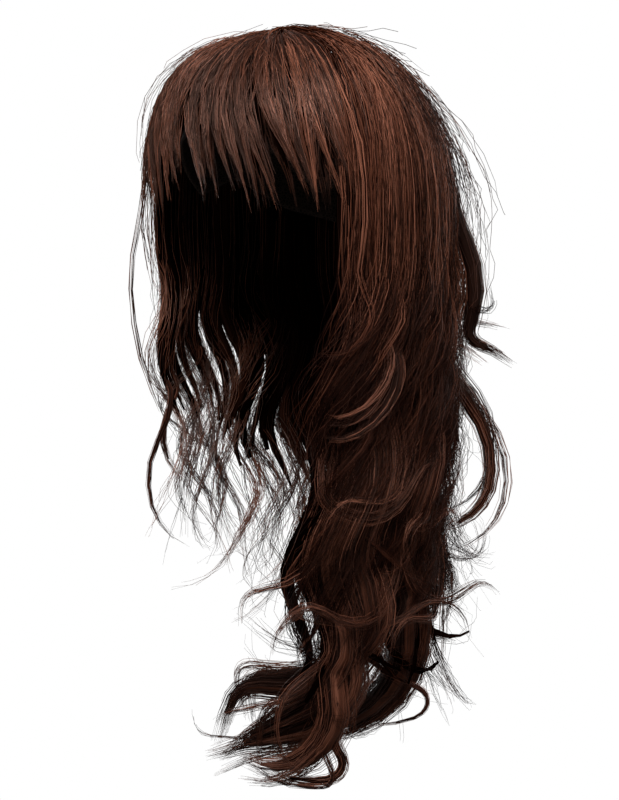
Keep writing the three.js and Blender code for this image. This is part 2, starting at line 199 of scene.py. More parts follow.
# %% Surfaces over the cap and below it
DOME = {"half_width": 0.107, "half_front": 0.116, "half_back": 0.126, "ring_z": -0.127, "top_z": 0.017}
DOME_FRONT = {"top_z": 0.010, "plan": 2.5, "rise": 2.9}
DOME_BACK = {"plan": 2.0, "rise": 2.0}
WHORL_Y = -0.017
HANG = np.array(
    [
        # azimuth, drift along X and Y on the way down, and height of the tips, in millimetres
        (-180, 0, -12, -470),
        (-130, 16, -8, -455),
        (-90, 24, 0, -425),
        (-50, 20, 10, -380),
        (70, -10, -38, -520),
        (85, -6, -36, -520),
        (100, -4, -22, -515),
        (115, -2, -10, -508),
        (130, 0, -10, -490),
        (150, 0, -10, -475),
        (180, 0, -12, -470),
    ],
    dtype=float,
)
DRIFT_DEPTH = 0.273
WAVE = {"sway": 0.009, "length": 0.125, "full_z": -0.250, "depth": 0.7, "phase_per_degree": 2.2}


def smooth(value, low=0.0, high=1.0):
    share = min(1.0, max(0.0, (value - low) / (high - low)))
    return share * share * (3 - 2 * share)


def mix(a, b, share):
    return a + (b - a) * share


def wrapped(azimuth):
    return (azimuth + 180) % 360 - 180


def heading(azimuth):
    angle = math.radians(azimuth)
    return np.array((math.sin(angle), -math.cos(angle), 0.0))


def front_share(azimuth):
    return smooth(0.5 + 0.5 * math.cos(math.radians(azimuth)))


def ring_radius(azimuth):
    angle = math.radians(azimuth)
    depth = DOME["half_front"] if math.cos(angle) > 0 else DOME["half_back"]
    power = mix(DOME_BACK["plan"], DOME_FRONT["plan"], front_share(azimuth))
    across = abs(math.sin(angle) / DOME["half_width"]) ** power
    along = abs(math.cos(angle) / depth) ** power
    return (across + along) ** (-1 / power)


def dome_height(x, y):
    azimuth = math.degrees(math.atan2(x, -y))
    reach_out = min(1.0, math.hypot(x, y) / ring_radius(azimuth))
    front = front_share(azimuth) * min(1.0, 2 * reach_out)
    power = mix(DOME_BACK["rise"], DOME_FRONT["rise"], front)
    top = mix(DOME["top_z"], DOME_FRONT["top_z"], front)
    return DOME["ring_z"] + (top - DOME["ring_z"]) * (1 - reach_out**power) ** (1 / power)


def dome_point(azimuth, share, inset):
    out = math.sin(share * math.pi / 2)
    point = heading(azimuth) * ring_radius(azimuth) * out
    point[1] += WHORL_Y * (1 - out)
    point[2] = dome_height(point[0], point[1]) - inset * (1 - out)
    return point - heading(azimuth) * inset * out


def hang_column(azimuth, column):
    return float(np.interp(wrapped(azimuth), HANG[:, 0], HANG[:, column])) * MM


def hang_point(azimuth, z, inset):
    share = smooth(DOME["ring_z"] - z, 0, DRIFT_DEPTH)
    point = heading(azimuth) * (ring_radius(azimuth) - inset)
    point[0] += hang_column(azimuth, 1) * share
    point[1] += hang_column(azimuth, 2) * share
    point[2] = z
    return point


def wave_point(azimuth, z, inset, sway=WAVE["sway"], length=WAVE["length"], shift=0.0):
    grown = sway * smooth(DOME["ring_z"] - z, 0, DOME["ring_z"] - WAVE["full_z"])
    phase = math.radians(WAVE["phase_per_degree"] * abs(wrapped(azimuth)) + shift)
    turn = phase + 2 * math.pi * (DOME["ring_z"] - z) / length
    sideways = heading(azimuth + 90) * grown * math.cos(turn)
    outwards = heading(azimuth) * grown * WAVE["depth"] * math.sin(turn)
    return hang_point(azimuth, z, inset) + sideways + outwards


print("Ring of the hair:", round(2 * ring_radius(90), 3), "m wide")

# %% [markdown]
# ## Locks
#
# Hair never lies as single strands. It gathers into locks, and a lock is the unit that a stylist
# works with. Here a lock is a path with a width and a thickness at each point. Its path is made
# coarse where it is straight and fine where it turns, so that no points are wasted.

# %% Locks and their paths
FINE_STEP = 0.004
STRAIGHT_STEP = 0.032
TURN_STEP = math.radians(18)
PATH_EDGE, PATH_GIVE = -0.003, 0.007
LOOSE_FROM, LOOSE_TO = 0.3, 0.9  # shares of the length between which a lock loosens
rng = np.random.default_rng(20)


def pressed_back(points, edge, give):
    """Points more than edge outside the model's box, pressed softly to at most give beyond that."""
    low, high = np.array(cad_box[0]) - edge, np.array(cad_box[1]) + edge
    points = np.where(points > high, high + give * np.tanh((points - high) / give), points)
    return np.where(points < low, low - give * np.tanh((low - points) / give), points)


def unit(vectors):
    return vectors / np.maximum(np.linalg.norm(vectors, axis=-1, keepdims=True), 1e-9)


def travelled(points):
    return np.concatenate(([0.0], np.cumsum(np.linalg.norm(np.diff(points, axis=0), axis=1))))


def rounded(points, passes):
    """The path in even fine steps, with its corners worn off."""
    points = np.asarray(points)
    length = travelled(points)
    count = max(4, int(length[-1] / FINE_STEP))
    at = np.linspace(0, length[-1], count)
    even = np.stack([np.interp(at, length, points[:, axis]) for axis in range(3)], axis=1)
    for _ in range(passes):
        even[1:-1] = (even[:-2] + 2 * even[1:-1] + even[2:]) / 4
    return even


def thinned(points, straight_step):
    """The shares of the path's points to keep: few where it is straight, more where it turns."""
    ways = unit(np.diff(points, axis=0))
    turns = np.arccos(np.clip(np.sum(ways[1:] * ways[:-1], axis=1), -1, 1))
    turns = np.concatenate(([0.0], turns, [0.0]))
    turns = np.convolve(turns, np.ones(5) / 5, mode="same")
    steps = np.linalg.norm(np.diff(points, axis=0), axis=1)
    cost = np.hypot(steps / straight_step, (turns[1:] + turns[:-1]) / 2 / TURN_STEP)
    total = np.concatenate(([0.0], np.cumsum(cost)))
    count = max(5, int(math.ceil(total[-1])) + 1)
    return np.interp(np.linspace(0, total[-1], count), total, np.linspace(0, 1, len(points)))


def make_lock(
    path, facing, half_width, half_thick, strands, frizz, *, passes=2, step=STRAIGHT_STEP,
    fan_length=0.0, fan_start=0.3, tip=0.45, close_from=0.6, root_frizz=0.25, tone=0.5
):
    """A lock along a path, flat towards an azimuth. It fans out from its root and closes to its tip."""
    path = pressed_back(rounded(path, passes), PATH_EDGE, PATH_GIVE)
    shares = thinned(path, step)
    every = np.linspace(0, 1, len(path))
    points = np.stack([np.interp(shares, every, path[:, axis]) for axis in range(3)], axis=1)
    length = travelled(points)
    along = length / length[-1]
    way = unit(np.gradient(points, axis=0))
    out = unit(np.cross(way, heading(facing + 90)))
    side = np.cross(out, way)
    fan = np.clip(length / fan_length, 0, 1) if fan_length else np.ones(len(points))
    fan = fan_start + (1 - fan_start) * np.sin(fan * math.pi / 2)
    closing = np.array([smooth(value, close_from, 1) for value in along])
    size = 1 - (1 - tip) * closing
    loosening = np.array([smooth(value, LOOSE_FROM, LOOSE_TO) for value in along])
    return {
        "points": points,
        "side": side * (half_width * fan * size)[:, None],
        "out": out * (half_thick * size)[:, None],
        "along": along,
        "frizz": frizz * (root_frizz + (1 - root_frizz) * loosening),
        "strands": strands,
        "tone": tone,
    }


print("Longest straight step", STRAIGHT_STEP, "m, largest turn", round(math.degrees(TURN_STEP)), "degrees")

# %% [markdown]
# ## Strands by Geometry Nodes
#
# A few hundred locks are enough to shape one by one, but they hold thousands of strands. A node tree
# repeats them: it copies each lock's path, moves every copy to its own place across the lock, draws
# the copies together into clumps towards the tips, lets them stray by a soft noise, and gives each
# one a thin three-sided section. Its inputs are the numbers that one would tune.

# %% The strand tree
STRAND_UV = "OFBake"
STRAND_SIDES = 3
STRAND_INPUTS = {
    # kind, and value where a piece gives none of its own
    "Strand Radius": ("Float", 0.00022),
    "Clumps": ("Int", 5),
    "Gather From": ("Float", 0.05),
    "Shortest": ("Float", 0.8),
    "Latest Root": ("Float", 0.1),
    "Seed": ("Int", 7),
    "Material": ("Material", None),
}
MOST_CLUMPS = 64  # in one lock
OWN_PLACE, CLUMP_PLACE, GATHERED = 0.36, 0.8, 0.86  # how close a strand comes to its clump
OWN_TONE, CLUMP_TONE, LOCK_TONE = 0.14, 0.56, 0.3  # where a strand's tone comes from
ROUND_TONE, WHOLE_TONE = 0.02, 0.96  # a sliver of the scale goes round a strand
SLOW_WANDER = (40.0, 15.0, 7.0)  # difference between clumps, bends in a metre, strength
FINE_WANDER = (90.0, 55.0, 4.4)  # difference between strands, bends in a metre, strength
TIP_FROM, TIP_RADIUS = 0.8, 0.3


def strand_tree():
    tree = bpy.data.node_groups.new("strands", "GeometryNodeTree")
    face = tree.interface
    face.new_socket("Geometry", in_out="INPUT", socket_type="NodeSocketGeometry")
    for name, (kind, value) in STRAND_INPUTS.items():
        face.new_socket(name, in_out="INPUT", socket_type="NodeSocket" + kind)
    face.new_socket("Geometry", in_out="OUTPUT", socket_type="NodeSocketGeometry")
    inputs = tree.nodes.new("NodeGroupInput").outputs

    def add(kind, *values, **settings):
        node = new_node(tree, kind, **settings)
        shown = [socket for socket in node.inputs if socket.enabled]
        for socket, value in zip(shown, values):
            feed(tree, socket, value)
        return [socket for socket in node.outputs if socket.enabled][0]

    def stored(name, kind):
        return add("GeometryNodeInputNamedAttribute", name, data_type=kind)

    def keep(geometry, name, value, kind, domain):
        kind_name = "GeometryNodeStoreNamedAttribute"
        return add(kind_name, geometry, None, name, value, data_type=kind, domain=domain)

    def maths(operation, *values):
        return add("ShaderNodeMath", *values, operation=operation)

    def vectors(operation, *values):
        return add("ShaderNodeVectorMath", *values, operation=operation)

    def parted(vector):
        return new_node(tree, "ShaderNodeSeparateXYZ", {0: vector}).outputs

    def chance(low, high, number, seed, kind="FLOAT"):
        return add("FunctionNodeRandomValue", low, high, number, seed, data_type=kind)

    # A copy of the lock's path for every strand, with a place of its own and a clump to belong to
    paths = add("GeometryNodeMeshToCurve", inputs["Geometry"])
    copies = add("GeometryNodeDuplicateElements", paths, None, stored("strands", "INT"), domain="SPLINE")
    number = add("GeometryNodeInputIndex")
    seed = inputs["Seed"]
    place = chance((-1, -1, 0), (1, 1, 1), number, seed, "FLOAT_VECTOR")
    copies = keep(copies, "place", place, "FLOAT_VECTOR", "CURVE")
    clump = chance(0, inputs["Clumps"], number, maths("ADD", seed, 1), "INT")
    clump = maths("MULTIPLY_ADD", stored("lock", "INT"), MOST_CLUMPS, clump)
    centre = chance((-1, -1, 0), (1, 1, 1), clump, maths("ADD", seed, 2), "FLOAT_VECTOR")
    copies = keep(copies, "centre", centre, "FLOAT_VECTOR", "CURVE")

    # Roots and tips are never level
    start = chance(0.0, inputs["Latest Root"], number, maths("ADD", seed, 3))
    end = chance(inputs["Shortest"], 1.0, number, maths("ADD", seed, 4))
    strands = add("GeometryNodeTrimCurve", copies, None, start, end, mode="FACTOR")

    # Across the lock: spread evenly at the root, drawn to the clump's centre further down
    place = stored("place", "FLOAT_VECTOR")
    centre = stored("centre", "FLOAT_VECTOR")
    along = stored("along", "FLOAT")
    frizz = stored("frizz", "FLOAT")
    beside = vectors("SCALE", centre, CLUMP_PLACE)
    near = vectors("MULTIPLY_ADD", place, (OWN_PLACE, OWN_PLACE, OWN_PLACE), beside)
    smoothly = {"interpolation_type": "SMOOTHSTEP"}
    gather = add("ShaderNodeMapRange", along, inputs["Gather From"], 1.0, 0.0, GATHERED, **smoothly)
    across = parted(add("ShaderNodeMix", gather, place, near, data_type="VECTOR"))
    sideways = vectors("SCALE", stored("side", "FLOAT_VECTOR"), across["X"])
    outwards = vectors("SCALE", stored("out", "FLOAT_VECTOR"), across["Y"])
    strands = add("GeometryNodeSetPosition", strands, None, None, vectors("ADD", sideways, outwards))

    # Stray: a slow wander that a clump shares, and a finer one for each strand
    def wander(pick, spread, scale, strength):
        where = maths("MULTIPLY", parted(pick)["Z"], spread)
        position = add("GeometryNodeInputPosition")
        noise = add("ShaderNodeTexNoise", position, where, scale, 0.0, noise_dimensions="4D")
        centred = vectors("SUBTRACT", noise.node.outputs["Color"], (0.5, 0.5, 0.5))
        return vectors("SCALE", centred, maths("MULTIPLY", frizz, strength))

    slow = wander(centre, *SLOW_WANDER)
    fine = wander(place, *FINE_WANDER)
    strands = add("GeometryNodeSetPosition", strands, None, None, vectors("ADD", slow, fine))

    # A thin section that comes to a point, and a UV of tone across and length along
    closing = add("ShaderNodeMapRange", along, TIP_FROM, 1.0, 1.0, TIP_RADIUS)
    radius = maths("MULTIPLY", inputs["Strand Radius"], closing)
    ring = add("GeometryNodeCurvePrimitiveCircle", STRAND_SIDES, 1.0, mode="RADIUS")
    corner = maths("DIVIDE", add("GeometryNodeInputIndex"), float(STRAND_SIDES))
    ring = keep(ring, "around", corner, "FLOAT", "POINT")
    tubes = add("GeometryNodeCurveToMesh", strands, ring, radius, True)
    shared = maths("MULTIPLY", parted(centre)["Z"], CLUMP_TONE)
    tone = maths("MULTIPLY_ADD", parted(place)["Z"], OWN_TONE, shared)
    tone = maths("MULTIPLY_ADD", stored("tone", "FLOAT"), LOCK_TONE, tone)
    tone = maths("MULTIPLY", tone, WHOLE_TONE)
    tone = maths("MULTIPLY_ADD", stored("around", "FLOAT"), ROUND_TONE, tone)
    uv = add("ShaderNodeCombineXYZ", tone, along, 0.0)
    tubes = keep(tubes, STRAND_UV, uv, "FLOAT2", "CORNER")
    tubes = add("GeometryNodeSetShadeSmooth", tubes, None, True)
    tubes = add("GeometryNodeRealizeInstances", tubes)
    tubes = add("GeometryNodeSetMaterial", tubes, None, inputs["Material"])
    output = tree.nodes.new("NodeGroupOutput")
    tree.links.new(tubes, output.inputs["Geometry"])
    return tree


STRANDS = strand_tree()
print("Strand tree with", len(STRANDS.nodes), "nodes")

# %% [markdown]
# The tree runs on one mesh of bare paths for each piece. Its result is read back as a plain mesh,
# and the helper attributes are dropped, so that nothing live is left on the piece. Hairs that strayed
# too far from the model are pressed back, as a hand would smooth them.

# %% From locks to a piece of strands
HAIR_EDGE, HAIR_GIVE = 0.008, 0.006
HELPER_LAYERS = ("side", "out", "along", "frizz", "tone", "strands", "lock", "place", "centre", "around")
total_triangles = {}


def paths_object(name, locks):
    """A mesh of bare paths that carries what the tree has to know about each lock."""
    mesh = bpy.data.meshes.new(name)
    counts = [len(lock["points"]) for lock in locks]
    edges = []
    first = 0
    for count in counts:
        edges += [(index, index + 1) for index in range(first, first + count - 1)]
        first += count
    mesh.from_pydata(np.concatenate([lock["points"] for lock in locks]).tolist(), edges, [])

    def store(key, kind, values, field="value"):
        mesh.attributes.new(key, kind, "POINT").data.foreach_set(field, values)

    for key in ("side", "out"):
        store(key, "FLOAT_VECTOR", np.concatenate([lock[key] for lock in locks]).ravel(), "vector")
    for key in ("along", "frizz"):
        store(key, "FLOAT", np.concatenate([lock[key] for lock in locks]))
    store("tone", "FLOAT", np.repeat([lock["tone"] for lock in locks], counts))
    store("strands", "INT", np.repeat([lock["strands"] for lock in locks], counts))
    store("lock", "INT", np.repeat(np.arange(len(locks)), counts))
    helper = bpy.data.objects.new(name, mesh)
    scene.collection.objects.link(helper)
    return helper


def add_piece(name, mesh, slot, *nodes):
    piece = bpy.data.objects.new(name, mesh)
    scene.collection.objects.link(piece)
    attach(piece, "root")
    if nodes:
        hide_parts(*nodes)
    mesh.calc_loop_triangles()
    total_triangles[name] = len(mesh.loop_triangles)
    return piece


def strand_piece(name, locks, material, **inputs):
    values = {key: value for key, (kind, value) in STRAND_INPUTS.items()}
    values.update(inputs, Material=material)
    helper = paths_object(name + "_paths", locks)
    modifier = helper.modifiers.new("strands", "NODES")
    modifier.node_group = STRANDS
    for item in STRANDS.interface.items_tree:
        if item.in_out == "INPUT" and item.name in values:
            modifier[item.identifier] = values[item.name]
    helper.update_tag()
    evaluated = helper.evaluated_get(bpy.context.evaluated_depsgraph_get())
    mesh = bpy.data.meshes.new_from_object(evaluated)
    mesh.name = name
    bpy.data.objects.remove(helper)
    points = np.empty(3 * len(mesh.vertices), dtype=np.float32)
    mesh.vertices.foreach_get("co", points)
    mesh.vertices.foreach_set("co", pressed_back(points.reshape(-1, 3), HAIR_EDGE, HAIR_GIVE).ravel())
    for key in HELPER_LAYERS:
        if key in mesh.attributes:
            mesh.attributes.remove(mesh.attributes[key])
    mesh.uv_layers.active = mesh.uv_layers[STRAND_UV]
    add_piece(name, mesh, "hair")
    print(name, sum(lock["strands"] for lock in locks), "strands,", total_triangles[name], "triangles")


print("Each lock carries its points and", len(HELPER_LAYERS), "helper layers")

# %% [markdown]
# ## Fibre
#
# Synthetic fibre has a soft sheen and many close shades of one colour: dark auburn in the depth,
# a warmer brown where the light grazes it. A hair shader would need true hair curves, and these strands
# are meshes, so a plain surface shader reads the shade of a strand from its UV. The shade stays the
# same along the strand, with slow changes as on dyed fibre. Dark strands are duller than light ones, which
# breaks the sheen into streaks. Long hair is painted darker towards its ends, as painted shade where it
# lies deeper in its own shadow. The copies of the fibre for the parts of the wig are also painted
# lighter or darker, as painted light and shade.

# %% Materials for strands and for the dense hair under them
SHADES = [
    # place on the scale from dark to light, and colour there
    (0.0, (0.005, 0.0012, 0.0006)),
    (0.4, (0.025, 0.0070, 0.0036)),
    (0.75, (0.070, 0.0225, 0.0120)),
    (1.0, (0.140, 0.0520, 0.0310)),
]
SHEEN_TINT = (1.0, 0.58, 0.45, 1)
STREAK_RUN = 5.0  # changes of shade along a strand
STREAK_DEPTH = 0.5
CONTRAST, DARKNESS = 2.4, 1.42
PAINTED_SHADE_FROM, PAINTED_SHADE_TO = 0.15, 0.48  # shares of the length between which long hair is painted darker, as painted shade
DARK_STRANDS_DULLER = 0.32


def fibre(name, brightness, roughness, gloss, streaks, lift, painted_shade):
    material, shader = surface(name, {"Specular IOR Level": gloss, "Specular Tint": SHEEN_TINT})
    tree = material.node_tree

    def maths(operation, *values):
        return new_node(tree, "ShaderNodeMath", enumerate(values), operation=operation).outputs[0]

    def ranged(value, ends, **settings):
        inputs = {"Value": value, **ends}
        return new_node(tree, "ShaderNodeMapRange", inputs, **settings).outputs["Result"]

    # The shade of a strand: its own tone with slow streaks, and painted shade that darkens long hair
    # towards its ends
    uv = new_node(tree, "ShaderNodeUVMap", uv_map=STRAND_UV).outputs["UV"]
    stretch = new_node(tree, "ShaderNodeMapping", {"Vector": uv, "Scale": (streaks, STREAK_RUN, 1.0)})
    streak = {"Vector": stretch.outputs["Vector"], "Scale": 1.0, "Detail": 3.0}
    noise = new_node(tree, "ShaderNodeTexNoise", streak).outputs["Fac"]
    place = new_node(tree, "ShaderNodeSeparateXYZ", {"Vector": uv}).outputs
    tone = maths("MULTIPLY_ADD", noise, STREAK_DEPTH, place["X"])
    level = maths("MULTIPLY_ADD", tone, CONTRAST, lift - DARKNESS)
    fall = {"From Min": PAINTED_SHADE_FROM, "From Max": PAINTED_SHADE_TO, "To Max": -painted_shade}
    shade = maths("ADD", level, ranged(place["Y"], fall, interpolation_type="SMOOTHSTEP"))

    # The shade chooses the colour, and dark strands are duller than light ones
    stops = [(position, [value * brightness for value in colour]) for position, colour in SHADES]
    colour = ramped(tree, shade, stops)
    dulled = ranged(shade, {"To Min": roughness + DARK_STRANDS_DULLER, "To Max": roughness})
    bump = new_node(tree, "ShaderNodeBump", {"Strength": 0.4, "Distance": 0.001, "Height": noise})
    tree.links.new(colour, shader.inputs["Base Color"])
    tree.links.new(dulled, shader.inputs["Roughness"])
    tree.links.new(bump.outputs["Normal"], shader.inputs["Normal"])
    return material


# Name, brightness, roughness, gloss, streaks round a strand, lift of the shade, painted shade towards the
# ends.
# Brightness and lift set the fibre's own colour, and also paint light and shade on its copies
# Painted light and shade: the crown's copy is darker, the long hair and the curls are lifted, and long and
# loose hair is painted darker towards its ends.
STRAND = fibre("hair strands", 1.08, 0.24, 0.42, 3.0, -0.02, 0.02)
CROWN_STRAND = fibre("hair strands on the crown", 0.9, 0.40, 0.0, 3.0, -0.02, 0.02)
# The layer under the fringe is painted darker: painted shade in the gaps between its locks.
SHADED_STRAND = fibre("hair strands under the fringe", 0.5, 0.34, 0.15, 3.0, -0.02, 0.02)
LONG_STRAND = fibre("long hair strands", 1.08, 0.36, 0.08, 3.0, 0.27, 0.82)
LOOSE_STRAND = fibre("loose hairs", 1.1, 0.34, 0.10, 3.0, 0.08, 0.48)
CURLED_STRAND = fibre("curled hair strands", 1.12, 0.36, 0.30, 3.0, 0.18, 0.10)
# The cores are painted far darker than the strands, and the curls' cores a little darker: painted shade.
DEPTH = fibre("hair in the depth", 0.16, 0.7, 0.0, 60.0, 0.0, 0.1)
CURLED_DEPTH = fibre("curled hair in the depth", 0.7, 0.5, 0.12, 60.0, 0.0, 0.1)
print("Fibre in", len(SHADES), "shades")

# %% [markdown]
# ## Dense hair under the strands
#
# Strands alone would let the light through. Under them, the same paths carry smooth solid cores, a
# little smaller than their locks and streaked like the inside of thick hair. They are painted dark:
# painted shade for the depth of the hair.

# %% Cores
CORE_SIDES = 8
CORE_TONES = 0.4  # spread of tones round a core
CORE_LOCK_TONE = 0.5  # share that it takes of its lock's tone
CORE_BLUNTNESS, CORE_LEAST = 6, 0.02  # how late its end closes, and the least that is left there


def core_mesh(name, locks, size=0.8, until=0.93, material=DEPTH):
    """A closed tube along each lock, up to a share of its length, with its end rounded off."""
    points = []
    faces = []
    uvs = []
    ring = range(CORE_SIDES)
    angles = np.arange(CORE_SIDES) * 2 * math.pi / CORE_SIDES
    for lock in locks:
        kept = np.flatnonzero(lock["along"] <= until)
        first = len(points)
        lowest = lock["tone"] * CORE_LOCK_TONE
        tones = [lowest + CORE_TONES * k / CORE_SIDES for k in range(CORE_SIDES + 1)]
        for index in kept:
            reached = lock["along"][index] / until
            closing = size * math.sqrt(max(CORE_LEAST, 1 - reached**CORE_BLUNTNESS))
            for angle in angles:
                offset = lock["side"][index] * math.cos(angle) + lock["out"][index] * math.sin(angle)
                points.append(tuple(lock["points"][index] + offset * closing))
        for row in range(len(kept) - 1):
            low, high = lock["along"][kept[row]], lock["along"][kept[row + 1]]
            lower = first + row * CORE_SIDES
            upper = lower + CORE_SIDES
            for k in ring:
                after = (k + 1) % CORE_SIDES
                faces.append((lower + k, lower + after, upper + after, upper + k))
                uvs += [(tones[k], low), (tones[k + 1], low), (tones[k + 1], high), (tones[k], high)]
        last = first + (len(kept) - 1) * CORE_SIDES
        faces.append(tuple(first + k for k in reversed(ring)))
        uvs += [(tones[k], 0.01 * (k % 2)) for k in reversed(ring)]
        faces.append(tuple(last + k for k in ring))
        uvs += [(tones[k], 0.99 + 0.01 * (k % 2)) for k in ring]
    mesh = bpy.data.meshes.new(name)
    mesh.from_pydata(points, [], faces)
    layer = mesh.uv_layers.new(name=STRAND_UV)
    layer.data.foreach_set("uv", np.array(uvs, dtype=np.float32).ravel())
    mesh.materials.append(material)
    mesh.shade_smooth()
    return mesh


def core_piece(name, locks, *nodes, **shape):
    add_piece(name, core_mesh(name, locks, **shape), "hair", *nodes)


print("Cores have", CORE_SIDES, "sides")

# %% [markdown]
# ## Long hair at the sides and back
#
# The long sections are sewn to the cap in rows, so their locks lie in layers: the outer ones start
# near the whorl, the next ones half-way down the dome, and the inner ones at the cap's edge.
# Neighbouring locks wave together because the wave was set on rods, but never quite in step.

# %% Layers of long locks
LAYERS = [
    # name, inset, root share, degrees between locks, half width, half thickness, strands, shortest cut,
    # and how freely its locks go their own way
    ("over", -0.0005, 0.50, 6.5, 0.0045, 0.0030, 15, 0.24, 2.2),
    ("outer", 0.0040, 0.24, 5.4, 0.0084, 0.0056, 35, 0.0, 1.0),
    ("middle", 0.0085, 0.42, 5.2, 0.0080, 0.0042, 6, 0.0, 0.25),
    ("inner", 0.0130, 0.80, 5.8, 0.0085, 0.0036, 9, 0.0, 1.0),
]
CORED_LAYER = "middle"
OVERLAP = 1.5  # degrees by which a section's locks lie over its neighbour's
LANE_STRAY = 2.5  # most degrees that a lock strays on its way over the dome
CREEP_DEPTH = 0.3  # how far below the ring a lock has crept sideways in full
FREE_SWAY = (0.009, 0.017)
FREE_WAVE_LENGTH = (0.105, 0.150)
FREE_SHIFT = 55  # degrees of the wave
FREE_DRIFT = 5  # degrees round the ring
ANY_PHASE = (0, 6.28)


def wandering(share, degrees, phase):
    """How far a lock strays from its azimuth on its way over the dome."""
    return degrees * math.sin(5 * share + phase)


def long_path(azimuth, inset, root_share, tip_z, sway, wave_length, shift, drift, stray=LANE_STRAY):
    """Over the dome and down in waves. Drift is how many degrees it creeps sideways below the ring."""
    degrees, phase = rng.uniform(0.2, 1) * stray, rng.uniform(*ANY_PHASE)
    shares = np.linspace(root_share, 1, 14)
    points = [dome_point(azimuth + wandering(share, degrees, phase), share, inset) for share in shares]
    azimuth += wandering(1, degrees, phase)
    for z in np.arange(DOME["ring_z"] - FINE_STEP, tip_z, -FINE_STEP):
        crept = azimuth + drift * smooth(DOME["ring_z"] - z, 0, CREEP_DEPTH)
        points.append(wave_point(crept, z, inset, sway, wave_length, shift))
    return np.array(points)


def end_curl(points, curl_length, turn, way):
    """The last of a path turned aside like a strand off a rod."""
    length = travelled(points)
    start = np.searchsorted(length, length[-1] - curl_length)
    curled = list(points[: start + 1])
    down = unit(points[start] - points[start - 3])
    count = len(points) - start - 1
    step = curl_length / max(count, 1)
    for index in range(count):
        angle = math.radians(turn) * (index + 1) / count
        curled.append(curled[-1] + (down * math.cos(angle) + way * math.sin(angle)) * step)
    return np.array(curled)


def long_locks(start, stop, strands_scale, curl_length, most_turn, lower, tip, close_from):
    locks = []
    cores = []
    span = stop - start + 2 * OVERLAP
    for name, inset, root, spacing, half_width, half_thick, strands, cut, free in LAYERS:
        count = max(2, round((stop - start) / spacing))
        for k in range(count):
            azimuth = start - OVERLAP + (k + 0.5 + rng.uniform(-0.2, 0.2)) * span / count
            path = long_path(
                azimuth,
                tip_z=hang_column(azimuth, 3) - lower + rng.uniform(-0.03, 0.03 + cut),
                inset=inset + rng.uniform(-0.003, 0.002) * free,
                root_share=root + rng.uniform(-0.05, 0.05),
                sway=mix(WAVE["sway"], rng.uniform(*FREE_SWAY), free),
                wave_length=mix(WAVE["length"], rng.uniform(*FREE_WAVE_LENGTH), free),
                shift=rng.uniform(-FREE_SHIFT, FREE_SHIFT) * free,
                drift=rng.uniform(-FREE_DRIFT, FREE_DRIFT) * free,
                stray=LANE_STRAY * free,
            )
            way = heading(azimuth + rng.choice([-90, 90]) + rng.uniform(-25, 25))
            curled = curl_length * rng.uniform(0.6, 1.1)
            path = end_curl(path, curled, rng.uniform(0.3, 1.0) * most_turn, way)
            made = make_lock(
                path, azimuth, half_width, half_thick,
                strands=max(4, round(strands * strands_scale)), frizz=rng.uniform(0.0012, 0.0024),
                fan_length=0.13, fan_start=0.35, tip=tip, close_from=close_from,
                root_frizz=0.7, tone=rng.uniform(0.0, 1.0),
            )
            locks.append(made)
            if name == CORED_LAYER:
                cores.append(made)
    return locks, cores


SECTIONS = {
    # from and to azimuth, how many strands, length of the curl at the ends, its most turn in degrees,
    # how far the tips hang below the heights of the table, a tip's share of the lock's size,
    # and the share of the length at which a lock starts to narrow
    "side_hair_left": (70, 128, 1.0, 0.12, 200, 0.016, 0.6, 0.7),
    "side_hair_right": (-128, -50, 0.58, 0.06, 90, -0.006, 0.22, 0.4),
    "back_hair_left": (128, 180, 1.0, 0.12, 200, -0.016, 0.6, 0.7),
    "back_hair_right": (-180, -128, 0.58, 0.08, 90, -0.010, 0.4, 0.55),
}
sections = {name: long_locks(*row) for name, row in SECTIONS.items()}
print({name: len(locks) for name, (locks, cores) in sections.items()}, "locks")

# %% [markdown]
# ## Curls that stand away
#
# Some locks leave the mass in wide open curls: two great loops at the back, hooks under them, and a
# sweep of thick curls that lies forward at the lower end. Each comes down with the rest, leaves at its
# azimuth and height, and then follows a chain of arcs in one upright plane. Arcs say in a few numbers
# what a hand-drawn curve would need many points for.

# %% Curls
BACKWARDS = 140
FORWARDS = -40
CURL_ROOT_SHARE = 0.55
CURL_RISE = 0.03  # where it comes up to the surface, above the place where it leaves
CURL_INSET, RISING_INSET, HIGH_INSET = 0.006, 0.008, 0.004  # in the mass, coming up, and from the dome
UNDER_RING, CLEAR_OF_RING = 0.01, 0.02  # just below the widest ring, and well below it
CURL_HIDDEN = 0.13  # a curl's length inside the mass, above the place where it leaves
BACK, SIDE, FAR_SIDE = "back_hair_left", "side_hair_left", "side_hair_right"
LARGE_CURL, LARGE_FULLNESS, FULLNESS = 15, 1.7, 1.3  # curls over this size in millimetres are fuller
DENSE_CURL, DENSER = 12, 1.25  # and over this size they have more strands


def arc(radius, turn):
    return (math.radians(abs(turn)) * radius * MM, turn)


def run(length):
    return (length * MM, 0)


